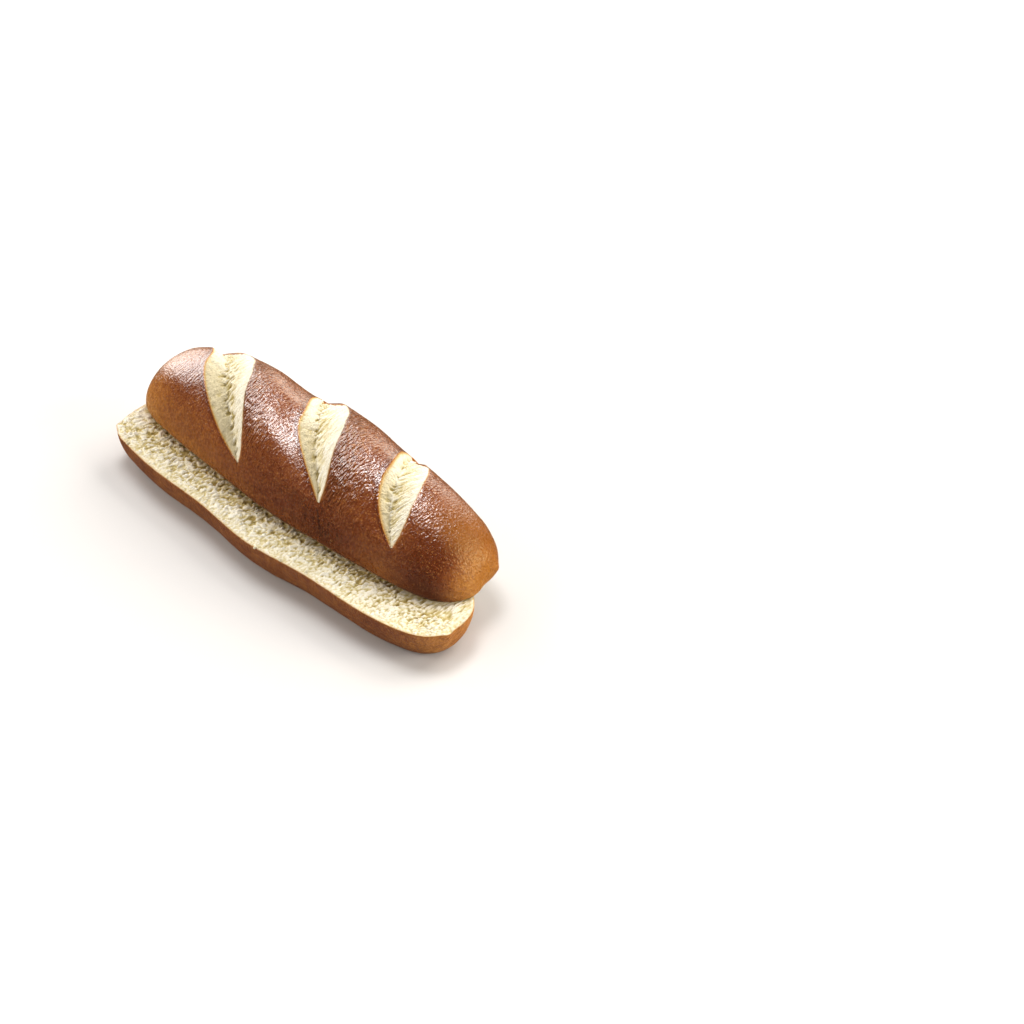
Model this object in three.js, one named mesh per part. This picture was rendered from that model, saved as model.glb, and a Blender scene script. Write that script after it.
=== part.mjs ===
// Pretzel hot dog bun, cut right through, with its top half slid back over its bottom half.
// Millimetres. +X runs along the bun to its right end, +Y to its far side, +Z up.
// The origin is at the middle of the bun's footprint box, on the surface that the bun rests on.
import * as THREE from "three";

// Plan outline of both halves: a long oval that narrows to blunt ends
const PLAN_TAPER = 0.28; // share of the width lost towards the ends, before they round off
const PLAN_TAPER_POWER = 1.3;
const PLAN_SOFTNESS = 0.12; // rounds the outline off at its widest place

// Bottom half: a shallow slab with a flat base, a rounded wall and a cut face of torn crumb
const BOTTOM_LENGTH = 176.5;
const BOTTOM_HALF_WIDTH = 23.2;
const BOTTOM_BLUNTNESS = { left: 30, right: 13 }; // a larger number is a squarer end
const CUT_HEIGHT = 14.5;
const BASE_INSET = 6.3; // how far the wall curves in to the base at mid-length
const BASE_INSET_ENDS = 8.3;
const EDGE_WAVE = 0.7; // how far the near cut edge swings in and out
const EDGE_WAVE_LENGTH = 58;
const RIGHT_TIP_SKEW = -1.5; // the bottom half's right tip lies nearer than its middle line
const TIP_SKEW_POWER = 8;
const CRUMB_DIP = 0.6; // deepest dip in the torn crumb of the cut face
const CRUMB_CALM = 6; // the dips fade out within this distance of the tips
const CRUMB_SEED = 7;

// Top half: a dome whose sides tuck in under their widest line to the flat cut face
const TOP_LENGTH = 171.5;
const TOP_HALF_WIDTH = 26.2;
const TOP_BLUNTNESS = { left: 19, right: 12 };
const TOP_HEIGHT = 35.2;
const BELLY_HEIGHT = 5; // height of the widest line over the cut face
const TUCK_RADIUS = 12;
const SHOULDER = { left: 6.4, right: 3.2 }; // a larger number is a fuller shoulder
const RIDGE_FALL = 0.18; // share of the height lost along the ridge, before the ends round off
const RIDGE_FALL_POWER = 1.5;
const FULL_SECTION = 0.6; // share of the height from which a section has its whole belly

// The top half as it lies on the bottom half
const SLIDE_BACK = 16.9;
const SLIDE_LEFT = 3.9;
const CRUMB_GAP = 0.3;

// Scores: slanting slashes that opened in the oven into leaves of pale crumb.
// Each crosses the ridge at middle, slants by slant and bends away from the ridge by bend.
// The width is along the bun, the reaches are angles from the ridge to the leaf's tips, and a fuller edge
// keeps its width for longer before it turns in to the tips. The valley is a share of the width from the
// left edge, and the lips are how far the crust rolls down.
const SCORES = [
  {
    middle: -46, slant: 7.6, bend: 24.5, width: 25.6, nearReach: 70.5, farReach: 72,
    fullness: { left: 6, right: 2.2 }, valley: 0.42, depth: 5, leftLip: 1.2, rightLip: 0,
  },
  {
    middle: 4.6, slant: 7.7, bend: 17.1, width: 22.6, nearReach: 62, farReach: 72,
    fullness: { left: 2.3, right: 2.1 }, valley: 0.36, depth: 5.2, leftLip: 5.8, rightLip: 0.4,
  },
  {
    middle: 46.7, slant: 6.1, bend: 9.4, width: 16.3, nearReach: 59, farReach: 72,
    fullness: { left: 3.8, right: 2.3 }, valley: 0.25, depth: 4.8, leftLip: 2.2, rightLip: 0.2,
  },
];
const CLOSED_SCORE_WIDTH = 1.5; // the band of lines that goes on past a leaf's tips
const LEFT_LIP_REACH = 13.5;
const RIGHT_LIP_REACH = 6.5;

// How finely the surfaces are divided
const SECTION_STEPS = 56;
const LEFT_END_STEPS = 14;
const RIGHT_END_STEPS = 11;
const LEAF_STEPS = 6;
const BRIDGE_STEPS = 6;
const OUTLINE_STEPS = 84;
const WALL_STEPS = 6;
const CRUMB_STEPS = 12;

const RIDGE_ANGLE = 90;
const TUCK_ANGLE = THREE.MathUtils.radToDeg(Math.asin(BELLY_HEIGHT / TUCK_RADIUS));

function cosDegrees(angle) {
  return Math.cos(THREE.MathUtils.degToRad(angle));
}

function sinDegrees(angle) {
  return Math.sin(THREE.MathUtils.degToRad(angle));
}

// Rounds an end off: 1 along the middle, falling to 0 at the tips u = -1 and u = 1
function roundedEnd(u, power) {
  return Math.sqrt(Math.max(0, 1 - Math.abs(u) ** (u < 0 ? power.left : power.right)));
}

// Share of the full half-width at u, which runs from -1 at the left tip to 1 at the right tip
function planShare(u, bluntness) {
  const taper = PLAN_TAPER * Math.hypot(u, PLAN_SOFTNESS) ** PLAN_TAPER_POWER;
  return (1 - taper) * roundedEnd(u, bluntness);
}

// Share of the top half's full height along the ridge at u
function ridgeShare(u) {
  return (1 - RIDGE_FALL * Math.abs(u) ** RIDGE_FALL_POWER) * roundedEnd(u, SHOULDER);
}

// A mesh of one sub-part, from its corner points and its triangles
function bunMesh(name, points, triangles, finish) {
  const geometry = new THREE.BufferGeometry().setFromPoints(points);
  geometry.setIndex(triangles);
  geometry.computeVertexNormals();
  const mesh = new THREE.Mesh(geometry, new THREE.MeshStandardMaterial(finish));
  mesh.name = name;
  return mesh;
}

// Two triangles over the corners a, b, c, d, which run anticlockwise as seen from outside
function addQuad(triangles, a, b, c, d) {
  triangles.push(a, b, c, a, c, d);
}

// Where a score's edges lie along the bun at a section angle: 0 near side, 90 ridge, 180 far side
function scoreEdges(score, angle) {
  const nearTip = RIDGE_ANGLE - score.nearReach;
  const farTip = RIDGE_ANGLE + score.farReach;
  const lean = cosDegrees(THREE.MathUtils.clamp(angle, nearTip, farTip));
  const middle = score.middle + score.slant * lean + score.bend * lean * Math.abs(lean);
  const reach = angle < RIDGE_ANGLE ? score.nearReach : score.farReach;
  const away = Math.min(1, Math.abs(angle - RIDGE_ANGLE) / reach);
  const halfWidth = (fullness) => Math.max(score.width * (1 - away ** fullness), CLOSED_SCORE_WIDTH) / 2;
  return { left: middle - halfWidth(score.fullness.left), right: middle + halfWidth(score.fullness.right) };
}

// Depth under the dome's own surface at a place along the bun: a valley in each leaf, rolled lips beside it
function scoreDepth(along, angle) {
  let depth = 0;
  for (const score of SCORES) {
    const { left, right } = scoreEdges(score, angle);
    const opening = (right - left - CLOSED_SCORE_WIDTH) / (score.width - CLOSED_SCORE_WIDTH);
    const across = THREE.MathUtils.clamp((along - left) / (right - left), 0, 1);
    const leftRoll = Math.exp(-((Math.max(0, left - along) / LEFT_LIP_REACH) ** 2));
    const rightRoll = Math.exp(-((Math.max(0, along - right) / RIGHT_LIP_REACH) ** 2));
    const lip = score.leftLip * (1 - across) * leftRoll + score.rightLip * across * rightRoll;
    const valley = across < score.valley ? across / score.valley : (1 - across) / (1 - score.valley);
    depth += opening * (lip + score.depth * valley);
  }
  return depth;
}

// A point of the top half's crust, over its own cut face
function topPoint(along, angle) {
  const u = THREE.MathUtils.clamp((2 * along) / TOP_LENGTH, -1, 1);
  const halfWidth = TOP_HALF_WIDTH * planShare(u, TOP_BLUNTNESS);
  const height = TOP_HEIGHT * ridgeShare(u);
  const fullness = Math.min(1, height / (FULL_SECTION * TOP_HEIGHT));
  const belly = BELLY_HEIGHT * fullness;
  const rise = sinDegrees(angle) >= 0 ? height - belly : TUCK_RADIUS * fullness;
  const inward = new THREE.Vector2(cosDegrees(angle) * rise, -sinDegrees(angle) * halfWidth).normalize();
  const depth = scoreDepth(along, angle) * fullness;
  return new THREE.Vector3(
    along,
    -halfWidth * cosDegrees(angle) + inward.x * depth,
    Math.max(0, belly + rise * sinDegrees(angle) + inward.y * depth),
  );
}

// The places along the bun of every line that crosses it at one section angle, tip to tip.
// Lines follow the leaves' edges, and crowd together where the ends round off.
function linePlaces(angle) {
  const places = [];
  const addSpan = (from, to, steps, spread) => {
    for (let step = 0; step < steps; step++) places.push(from + (to - from) * spread(step / steps));
  };
  const even = (share) => share;
  const crowdedAtStart = (share) => 1 - cosDegrees(share * RIDGE_ANGLE);
  const crowdedAtEnd = (share) => sinDegrees(share * RIDGE_ANGLE);
  const leaves = SCORES.map((score) => scoreEdges(score, angle));
  addSpan(-TOP_LENGTH / 2, leaves[0].left, LEFT_END_STEPS, crowdedAtStart);
  leaves.forEach((leaf, index) => {
    addSpan(leaf.left, leaf.right, LEAF_STEPS, even);
    const next = leaves[index + 1];
    if (next) addSpan(leaf.right, next.left, BRIDGE_STEPS, even);
  });
  addSpan(leaves.at(-1).right, TOP_LENGTH / 2, RIGHT_END_STEPS, crowdedAtEnd);
  places.push(TOP_LENGTH / 2);
  return places;
}

// Top half: lines over the dome from the near rim to the far rim, a tip at each end, and the flat cut face
function makeTopHalf() {
  const sweepAngle = 2 * (RIDGE_ANGLE + TUCK_ANGLE);
  const angles = [];
  for (let row = 0; row <= SECTION_STEPS; row++) angles.push((row / SECTION_STEPS) * sweepAngle - TUCK_ANGLE);
  const placesByRow = angles.map(linePlaces);
  const lineCount = placesByRow[0].length;
  const points = [];
  const triangles = [];
  const rowCount = angles.length;
  const vertex = (line, row) => (line - 1) * rowCount + row;
  for (let line = 1; line < lineCount - 1; line++) {
    angles.forEach((angle, row) => points.push(topPoint(placesByRow[row][line], angle)));
  }
  const leftTip = points.push(topPoint(-TOP_LENGTH / 2, 0)) - 1;
  const rightTip = points.push(topPoint(TOP_LENGTH / 2, 0)) - 1;
  const lastLine = lineCount - 2;
  for (let row = 0; row < SECTION_STEPS; row++) {
    triangles.push(leftTip, vertex(1, row), vertex(1, row + 1));
    triangles.push(vertex(lastLine, row), rightTip, vertex(lastLine, row + 1));
    for (let line = 1; line < lastLine; line++) {
      const next = line + 1;
      addQuad(triangles, vertex(line, row), vertex(next, row), vertex(next, row + 1), vertex(line, row + 1));
    }
  }
  const farRow = SECTION_STEPS;
  for (let line = 1; line < lastLine; line++) {
    const next = line + 1;
    addQuad(triangles, vertex(line, 0), vertex(line, farRow), vertex(next, farRow), vertex(next, 0));
  }
  triangles.push(leftTip, vertex(1, farRow), vertex(1, 0));
  triangles.push(rightTip, vertex(lastLine, 0), vertex(lastLine, farRow));
  const mesh = bunMesh("top_half", points, triangles, { color: 0x7a4124, roughness: 0.38, metalness: 0 });
  mesh.position.set(-SLIDE_LEFT, SLIDE_BACK, CUT_HEIGHT + CRUMB_GAP);
  return mesh;
}

// A point of the bottom half's outline at u, on the near side (-1) or the far side (1),
// at a wall angle that runs from 90 at the cut edge to 0 at the base
function bottomPoint(u, side, wallAngle) {
  const inset = THREE.MathUtils.lerp(BASE_INSET, BASE_INSET_ENDS, u * u) * (1 - sinDegrees(wallAngle));
  const along = u * (BOTTOM_LENGTH / 2 - inset);
  const wave = side < 0 ? EDGE_WAVE * Math.cos((2 * Math.PI * along) / EDGE_WAVE_LENGTH) : 0;
  const skew = RIGHT_TIP_SKEW * Math.max(0, u) ** TIP_SKEW_POWER;
  const halfWidth = (BOTTOM_HALF_WIDTH + wave - inset) * planShare(u, BOTTOM_BLUNTNESS);
  return new THREE.Vector3(along, skew + side * halfWidth, CUT_HEIGHT * (1 - cosDegrees(wallAngle)));
}

// Random numbers from 0 to 1 that come out the same each time
function seededDraws(seed) {
  const multiplier = 48271;
  const modulus = 2147483647;
  let state = seed;
  return () => {
    state = (state * multiplier) % modulus;
    return state / modulus;
  };
}

// Bottom half: rings down the wall, the crumb face across the top ring and the flat base across the last
function makeBottomHalf() {
  const points = [];
  const triangles = [];
  const ringSize = 2 * OUTLINE_STEPS;
  const ringVertex = (ring, place) => ring * ringSize + ((place + ringSize) % ringSize);
  const outlinePlaces = Array.from({ length: ringSize }, (_, place) => ({
    u: -cosDegrees((180 * place) / OUTLINE_STEPS),
    side: place < OUTLINE_STEPS ? -1 : 1,
  }));
  for (let ring = 0; ring <= WALL_STEPS; ring++) {
    const wallAngle = 90 * (1 - ring / WALL_STEPS);
    outlinePlaces.forEach(({ u, side }) => points.push(bottomPoint(u, side, wallAngle)));
  }
  for (let ring = 0; ring < WALL_STEPS; ring++) {
    const below = ring + 1;
    for (let place = 0; place < ringSize; place++) {
      const next = place + 1;
      const lower = [ringVertex(below, place), ringVertex(below, next)];
      addQuad(triangles, ...lower, ringVertex(ring, next), ringVertex(ring, place));
    }
  }
  addCrumbFace(points, triangles, ringVertex);
  addBase(triangles, ringVertex);
  return bunMesh("bottom_half", points, triangles, { color: 0xa8662c, roughness: 0.55, metalness: 0 });
}

// Rows of torn crumb from the near cut edge to the far one. It only dips, so it stays clear of the top half.
function addCrumbFace(points, triangles, ringVertex) {
  const draw = seededDraws(CRUMB_SEED);
  const rows = [];
  for (let line = 1; line < OUTLINE_STEPS; line++) {
    const near = ringVertex(0, line);
    const far = ringVertex(0, -line);
    const row = [near];
    for (let step = 1; step < CRUMB_STEPS; step++) {
      const point = points[near].clone().lerp(points[far], step / CRUMB_STEPS);
      const fromTip = BOTTOM_LENGTH / 2 - Math.abs(point.x);
      point.z -= CRUMB_DIP * draw() * Math.min(1, fromTip / CRUMB_CALM);
      row.push(points.push(point) - 1);
    }
    row.push(far);
    rows.push(row);
  }
  const leftTip = ringVertex(0, 0);
  const rightTip = ringVertex(0, OUTLINE_STEPS);
  const first = rows[0];
  const last = rows.at(-1);
  for (let step = 0; step < CRUMB_STEPS; step++) {
    triangles.push(leftTip, first[step], first[step + 1]);
    triangles.push(last[step], rightTip, last[step + 1]);
    for (let line = 0; line < rows.length - 1; line++) {
      const row = rows[line];
      const next = rows[line + 1];
      addQuad(triangles, row[step], next[step], next[step + 1], row[step + 1]);
    }
  }
}

// The flat underside
function addBase(triangles, ringVertex) {
  const base = (place) => ringVertex(WALL_STEPS, place);
  triangles.push(base(0), base(-1), base(1));
  triangles.push(base(OUTLINE_STEPS), base(OUTLINE_STEPS - 1), base(OUTLINE_STEPS + 1));
  for (let line = 1; line < OUTLINE_STEPS - 1; line++) {
    addQuad(triangles, base(line), base(-line), base(-line - 1), base(line + 1));
  }
}

// Both halves in one group, moved so that the footprint's box is centred on the origin
function makeBun() {
  const bun = new THREE.Group();
  bun.add(makeBottomHalf(), makeTopHalf());
  const centre = new THREE.Box3().setFromObject(bun).getCenter(new THREE.Vector3());
  bun.position.set(-centre.x, -centre.y, 0);
  return bun;
}

export default makeBun();
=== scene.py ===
"""Looks of a pretzel hot dog bun, cut right through, with its top half slid back over the bottom half."""

import math

import bmesh
import bpy
import numpy as np
from mathutils import Matrix, Vector, noise


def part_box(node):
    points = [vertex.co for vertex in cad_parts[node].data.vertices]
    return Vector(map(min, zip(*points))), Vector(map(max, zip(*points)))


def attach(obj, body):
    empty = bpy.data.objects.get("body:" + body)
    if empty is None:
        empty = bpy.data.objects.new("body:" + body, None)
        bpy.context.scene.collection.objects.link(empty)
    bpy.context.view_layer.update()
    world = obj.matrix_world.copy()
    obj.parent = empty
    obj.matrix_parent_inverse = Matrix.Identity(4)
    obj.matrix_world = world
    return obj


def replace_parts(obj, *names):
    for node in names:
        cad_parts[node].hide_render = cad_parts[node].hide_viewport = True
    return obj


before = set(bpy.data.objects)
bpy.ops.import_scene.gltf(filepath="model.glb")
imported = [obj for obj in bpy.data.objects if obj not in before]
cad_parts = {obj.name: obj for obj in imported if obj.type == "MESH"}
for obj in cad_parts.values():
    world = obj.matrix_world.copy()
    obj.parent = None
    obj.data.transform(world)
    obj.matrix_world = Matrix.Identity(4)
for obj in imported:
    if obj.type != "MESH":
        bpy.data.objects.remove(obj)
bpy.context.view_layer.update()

# Sizes are in millimetres and angles in degrees. Angles run round the top half, from 0 at the near side
# over 90 on the ridge to 180 at the far side. A span holds the two ends of a soft rise from 0 to 1.
# A noise has a cell, which is the size of its features, a seed and, where it isn't 1, a height.
MM = 0.001
SEED_STEP = 17.31

# Outline from above and fall of the ridge, as shares of half width and height
PLAN_TAPER = 0.28
PLAN_TAPER_POWER = 1.3
PLAN_SOFTNESS = 0.12
RIDGE_FALL = 0.18
RIDGE_FALL_POWER = 1.5
SHOULDER = (6.4, 3.2)

# Bottom half
BOTTOM_LENGTH = 176.5
BOTTOM_HALF_WIDTH = 23.2
BOTTOM_BLUNTNESS = (30, 13)
CUT_HEIGHT = 14.5
BASE_INSET = 6.3
BASE_INSET_ENDS = 8.3
EDGE_WAVE = 0.7
EDGE_WAVE_LENGTH = 58
RIGHT_TIP_SKEW = -1.5
TIP_SKEW_POWER = 8
NEAR_SIDE = -1
FAR_SIDE = 1
CUT_EDGE = 90
BASE_EDGE = 0
BOTTOM_CORNERS = (
    dict(place=(88.4, -7.0), level=CUT_HEIGHT, size=2.2, out=1.2, drop=11),
    dict(place=(-86.0, -12.6), level=CUT_HEIGHT, size=1.6, out=1.1, drop=3),
)

# Top half
TOP_LENGTH = 171.5
TOP_HALF_WIDTH = 26.2
TOP_BLUNTNESS = (19, 12)
TOP_HEIGHT = 35.2
BELLY_HEIGHT = 5
TUCK_RADIUS = 12
TUCK_ANGLE = math.degrees(math.asin(BELLY_HEIGHT / TUCK_RADIUS))
FIRST_ANGLE = -TUCK_ANGLE
RIDGE = 90
LAST_ANGLE = 180 + TUCK_ANGLE
FULL_SECTION = 0.6
SLIDE_BACK = 16.9
SKIN_RADIUS = 30
LEAST_LENGTH = 1e-6
TOP_CORNERS = (
    dict(place=(83.0, 11.0), level=2.5, size=1.6, out=0.8, drop=2),
    dict(place=(85.5, 3.5), level=0, size=5, out=-1.5, drop=6),
)

# The three scores across the top, from left to right

# The last two rows of each are finer than the solid's shape: how far the right edge draws in just past the
# ridge, how the crust at its right stretched, how the strands of torn crumb lean and where slots part them.
SCORES = (
    dict(middle=-46, slant=7.6, bend=24.5, width=25.6, near_reach=70.5, far_reach=72, fullness=(6, 2.2),
         valley=0.42, depth=5, left_lip=1.2, right_lip=0,
         far_tuck=2.2, stretch=1.3, stretch_reach=8,
         strand_lean=-0.1, slot_depth=1.2, slot_place=0.08, slot_reach=0.18),
    dict(middle=4.6, slant=7.7, bend=17.1, width=22.6, near_reach=62, far_reach=72, fullness=(2.3, 2.1),
         valley=0.36, depth=5.2, left_lip=5.8, right_lip=0.4,
         far_tuck=1.5, stretch=1.8, stretch_reach=10,
         strand_lean=0.0, slot_depth=1.0, slot_place=0.03, slot_reach=0.12),
    dict(middle=46.7, slant=6.1, bend=9.4, width=16.3, near_reach=59, far_reach=72, fullness=(3.8, 2.3),
         valley=0.25, depth=4.8, left_lip=2.2, right_lip=0.2,
         far_tuck=0.8, stretch=0.4, stretch_reach=7,
         strand_lean=-0.35, slot_depth=0.7, slot_place=0.05, slot_reach=0.15),
)
CLOSED_SCORE_WIDTH = 0.6
LEAST_OPENING = 0.001
FAR_TUCK_ANGLE = 103
FAR_TUCK_REACH = 13
FAR_CRUST_ANGLE = 139
FAR_CRUST_ROUND = 5
FAR_CRUMB_RISE = 13
FAR_CRUMB_SPAN = (0.7, 0.4)
LEFT_LIP_REACH = 13.5
RIGHT_LIP_REACH = 6.5
EDGE_JAGS = (dict(height=0.12, cell=3.0, seed=61), dict(height=0.3, cell=1.4, seed=62))
JAG_OPENING = 0.15

# How finely the meshes are divided
FINE_UP_TO = 120
NEAR_ROWS = 172
FAR_ROWS = 40
UNDERSIDE_ROWS = 12
END_COLUMNS = (62, 62)
SCORE_COLUMNS = (78, 72, 54)
BRIDGE_COLUMNS = (50, 46)
FAN_RATE = 0.25
FAN_LIMIT = 5
BOTTOM_COLUMNS = 800
EVEN_SAMPLES = 20
NEAR_CRUMB_ROWS = 70
FAR_CRUMB_ROWS = 12
NEAR_CRUMB_SHARE = 0.43
NEAR_WALL_ROWS = 24
FAR_WALL_ROWS = 10
BASE_ROWS = 4
WELD = 0.0005

# Camera, fitted to the photograph
VIEW_AZIMUTH = 43.4
VIEW_ELEVATION = 41.6
VIEW_DISTANCE = 900
VIEW_WIDTH = 390.3
VIEW_TARGET = (49.4, 57.9, 0)
SENSOR_WIDTH = 36

# Places of both halves, from the frame
top_low, top_high = (np.array(corner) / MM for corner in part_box("top_half"))
bottom_low, bottom_high = (np.array(corner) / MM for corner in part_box("bottom_half"))
TOP_MIDDLE = ((top_low + top_high) / 2)[:2]
TOP_PLACE = np.array((*TOP_MIDDLE, top_low[2]))
BOTTOM_MIDDLE = np.array(((bottom_low + bottom_high)[0] / 2, TOP_MIDDLE[1] - SLIDE_BACK))
BOTTOM_PLACE = np.array((*BOTTOM_MIDDLE, 0))


# Soft rises and noise

LUMP_GAP = 0.7
NODULE_REACH = 0.75
NODULE_ROUNDNESS = 1.8
NODULE_SPREAD = 0.5
NODULE_DRAW = 7


def smooth_step(low, high, value):
    """0 at low, 1 at high and a soft rise between them"""
    share = np.clip((value - low) / (high - low), 0, 1)
    return share * share * (3 - 2 * share)


def bell(value, width):
    """1 where value is 0, falling softly on both sides"""
    return np.exp(-(value / width) ** 2)


def blend(share, first, second):
    return (1 - share) * first + share * second


def flat_places(first, second):
    """Places on a plane"""
    return np.stack((first, second, np.zeros_like(first)), axis=-1)


def seeded(places, cell, seed):
    """Places counted in cells, moved to the seed's own part of the noise"""
    return (places / np.asarray(cell) + seed * SEED_STEP).tolist()


def noise_at(places, cell, seed, height=1, shift=0):
    """Smooth noise of about -height to height, with features as large as cell"""
    return height * np.array([noise.noise(place) for place in seeded(places, cell, seed + shift)])


def lumps_at(places, cell, seed, shift=0):
    """Rounded lumps as large as cell: about 1 on top of each and 0 in the creases between them"""
    gaps = []
    for place in seeded(places, cell, seed + shift):
        nearest, second = noise.voronoi(place)[0][:2]
        gaps.append(second - nearest)
    return np.sqrt(np.clip(np.array(gaps) / LUMP_GAP, 0, 1))


def nodules_at(places, cell, seed):
    """Rounded nodules as large as cell, of uneven heights up to about 1, with creases between them"""
    heights = []
    for place in seeded(places, cell, seed):
        distances, centres = noise.voronoi(place)
        dome = max(0, 1 - (distances[0] / NODULE_REACH) ** NODULE_ROUNDNESS)
        heights.append(dome * (1 - NODULE_SPREAD * noise.cell(centres[0] * NODULE_DRAW)))
    return np.array(heights)


# Outline

def rounded_end(share, bluntness):
    power = np.where(share < 0, *bluntness)
    return np.sqrt(np.clip(1 - np.abs(share) ** power, 0, 1))


def plan_share(share, bluntness):
    taper = 1 - PLAN_TAPER * np.hypot(share, PLAN_SOFTNESS) ** PLAN_TAPER_POWER
    return taper * rounded_end(share, bluntness)


def ridge_share(share):
    return (1 - RIDGE_FALL * np.abs(share) ** RIDGE_FALL_POWER) * rounded_end(share, SHOULDER)


# Scores

def score_edges(score, angle):
    """Left and right edge of a score along the bun, at angles round it"""
    lean = np.cos(np.radians(np.clip(angle, RIDGE - score["near_reach"], RIDGE + score["far_reach"])))
    middle = score["middle"] + score["slant"] * lean + score["bend"] * lean * np.abs(lean)
    reach = np.where(angle < RIDGE, score["near_reach"], score["far_reach"])
    away = np.minimum(1, np.abs(angle - RIDGE) / reach)
    left, right = (np.maximum(score["width"] * (1 - away ** fullness), CLOSED_SCORE_WIDTH) / 2
                   for fullness in score["fullness"])
    tuck = score["far_tuck"] * bell(angle - FAR_TUCK_ANGLE, FAR_TUCK_REACH)
    return middle - left, middle + right - tuck


def score_opening(score, angle):
    """How far a score stands open: about 1 on the ridge and 0 past its tips"""
    left, right = score_edges(score, angle)
    return (right - left - CLOSED_SCORE_WIDTH) / (score["width"] - CLOSED_SCORE_WIDTH)


def torn_edges(score, angle, shift):
    """The edges with the small jags of torn crust, fanned out past the tips to guide the mesh there"""
    reach = np.where(angle < RIDGE, score["near_reach"], score["far_reach"])
    past_tip = np.maximum(0, np.abs(angle - RIDGE) - reach) * math.radians(1) * SKIN_RADIUS
    fan = np.minimum(FAN_LIMIT, FAN_RATE * past_tip)
    open_now = smooth_step(0, JAG_OPENING, score_opening(score, angle))
    left, right = score_edges(score, angle)
    round_place = flat_places(np.radians(angle) * SKIN_RADIUS, np.zeros_like(angle))
    left_jag, right_jag = (open_now * noise_at(round_place, shift=shift, **jag) for jag in EDGE_JAGS)
    return left - fan + left_jag, right + fan + right_jag


def crumb_end(across):
    """Angle at which the torn crumb of a score gives way to crust on the far side, latest at the left"""
    rise = FAR_CRUMB_RISE * smooth_step(*FAR_CRUMB_SPAN, across)
    return FAR_CRUST_ANGLE + rise - FAR_CRUST_ROUND * (2 * across - 1) ** 2


def score_depth(along, angle):
    """How far the scores and their lips sink the surface"""
    depth = np.zeros_like(along)
    for score in SCORES:
        left, right = score_edges(score, angle)
        across = np.clip((along - left) / (right - left), 0, 1)
        left_roll = bell(np.maximum(0, left - along), LEFT_LIP_REACH)
        right_roll = bell(np.maximum(0, along - right), RIGHT_LIP_REACH)
        lip = score["left_lip"] * (1 - across) * left_roll + score["right_lip"] * across * right_roll
        rising = across / score["valley"]
        falling = (1 - across) / (1 - score["valley"])
        depth += score_opening(score, angle) * (lip + score["depth"] * np.minimum(rising, falling))
    return depth


# Meshes

def grid_mesh(name, points, materials):
    """A closed mesh from rows of points round a ring. Returns it with the grid places of its points."""
    rows, columns = points.shape[:2]
    flat = points.reshape(-1, 3)
    keys = np.round(flat / WELD).astype(np.int64)
    _, kept, number = np.unique(keys, axis=0, return_index=True, return_inverse=True)
    grid = number.reshape(rows, columns)
    following = np.roll(grid, -1, axis=0)
    quads = np.stack((grid[:, :-1], grid[:, 1:], following[:, 1:], following[:, :-1]), axis=-1)
    faces = []
    slots = []
    for corners, slot in zip(quads.reshape(-1, 4).tolist(), materials.ravel().tolist()):
        loop = [corner for place, corner in enumerate(corners) if corner != corners[place - 1]]
        if len(loop) > 2:
            faces.append(loop)
            slots.append(slot)
    mesh = bpy.data.meshes.new(name)
    mesh.from_pydata((flat[kept] * MM).tolist(), [], faces)
    mesh.polygons.foreach_set("material_index", slots)
    mesh.shade_smooth()
    return mesh, kept


def raised(mesh, points, relief):
    """Points moved out along the mesh's normals"""
    normals = np.empty(len(mesh.vertices) * 3, np.float32)
    mesh.vertices.foreach_get("normal", normals)
    return points + normals.reshape(-1, 3) * relief[:, None]


def push_corners(points, corners):
    """Small corners of a cut edge that stand out of the outline, or that the knife took off"""
    pushed = points.copy()
    for corner in corners:
        away = np.linalg.norm(points[:, :2] - corner["place"], axis=1)
        near = bell(away, corner["size"]) * bell(points[:, 2] - corner["level"], corner["drop"])
        outward = np.array(corner["place"]) / np.linalg.norm(corner["place"])
        pushed[:, :2] += np.outer(corner["out"] * near, outward)
    return pushed


def set_points(mesh, points):
    mesh.vertices.foreach_set("co", (points * MM).astype(np.float32).ravel())
    mesh.update()


def add_values(mesh, **lists):
    """Keeps a number, or three, at each point for the materials to read"""
    for name, values in lists.items():
        kind, field = ("FLOAT", "value") if values.ndim == 1 else ("FLOAT_VECTOR", "vector")
        attribute = mesh.attributes.new(name, kind, "POINT")
        attribute.data.foreach_set(field, values.astype(np.float32).ravel())


def add_piece(mesh, slot, *materials):
    piece = bpy.data.objects.new(mesh.name, mesh)
    bpy.context.scene.collection.objects.link(piece)
    for material in materials:
        mesh.materials.append(material)
    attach(piece, "root")
    return piece


# Unevenness of baked crust

SWELLS = dict(height=0.3, cell=17, seed=1)
DENTS = dict(height=0.09, cell=5, seed=2)
WRINKLES = dict(cell=(1.7, 5.5, 1), seed=4)
WRINKLE_BENDS = dict(height=0.7, cell=4, seed=3)
WRINKLE_HEIGHT = 0.03
STRETCHED_HEIGHT = 0.09


def crust_relief(points, skin, stretched):
    """Swells, dents, and wrinkles across the bun that are deepest where the crust stretched"""
    bent = skin + np.outer(noise_at(points, **WRINKLE_BENDS), (1, 0, 0))
    wrinkles = (WRINKLE_HEIGHT + STRETCHED_HEIGHT * stretched) * noise_at(bent, **WRINKLES)
    return noise_at(points, **SWELLS) + noise_at(points, **DENTS) + wrinkles


# Torn crumb in the scores

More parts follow.
